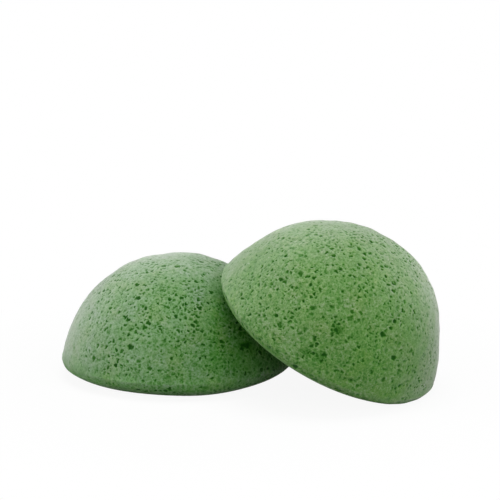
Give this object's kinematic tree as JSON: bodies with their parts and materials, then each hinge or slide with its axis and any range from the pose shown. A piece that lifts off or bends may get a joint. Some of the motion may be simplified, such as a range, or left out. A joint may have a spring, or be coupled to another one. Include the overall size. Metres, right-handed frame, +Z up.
{
  "type": "konjac sponge",
  "caption": "Half-ball konjac facial sponges of soft porous green plant-fibre foam, each with a flat face and a domed face, one lying and one leaning against it, for cleansing skin.",
  "frame": {"origin": "centre of the lying sponge's flat face, on the surface that the pair stands on", "axes": "+Z up, out of the lying sponge's crown; +X from the lying sponge towards the leaning one, so the XZ plane is the pair's plane of symmetry"},
  "size_m": [0.1343, 0.08, 0.0578],
  "materials": {
    "konjac_foam": "matte"
  },
  "bodies": {
    "lying": {"lying_sponge": "konjac_foam"},
    "leaning": {"leaning_sponge": "konjac_foam"}
  },
  "joints": [
    {"name": "leaning_sponge_lift", "type": "slide", "parent": "lying", "child": "leaning", "axis": [0, 0, 1], "range_m": [0, 0.06]}
  ]
}
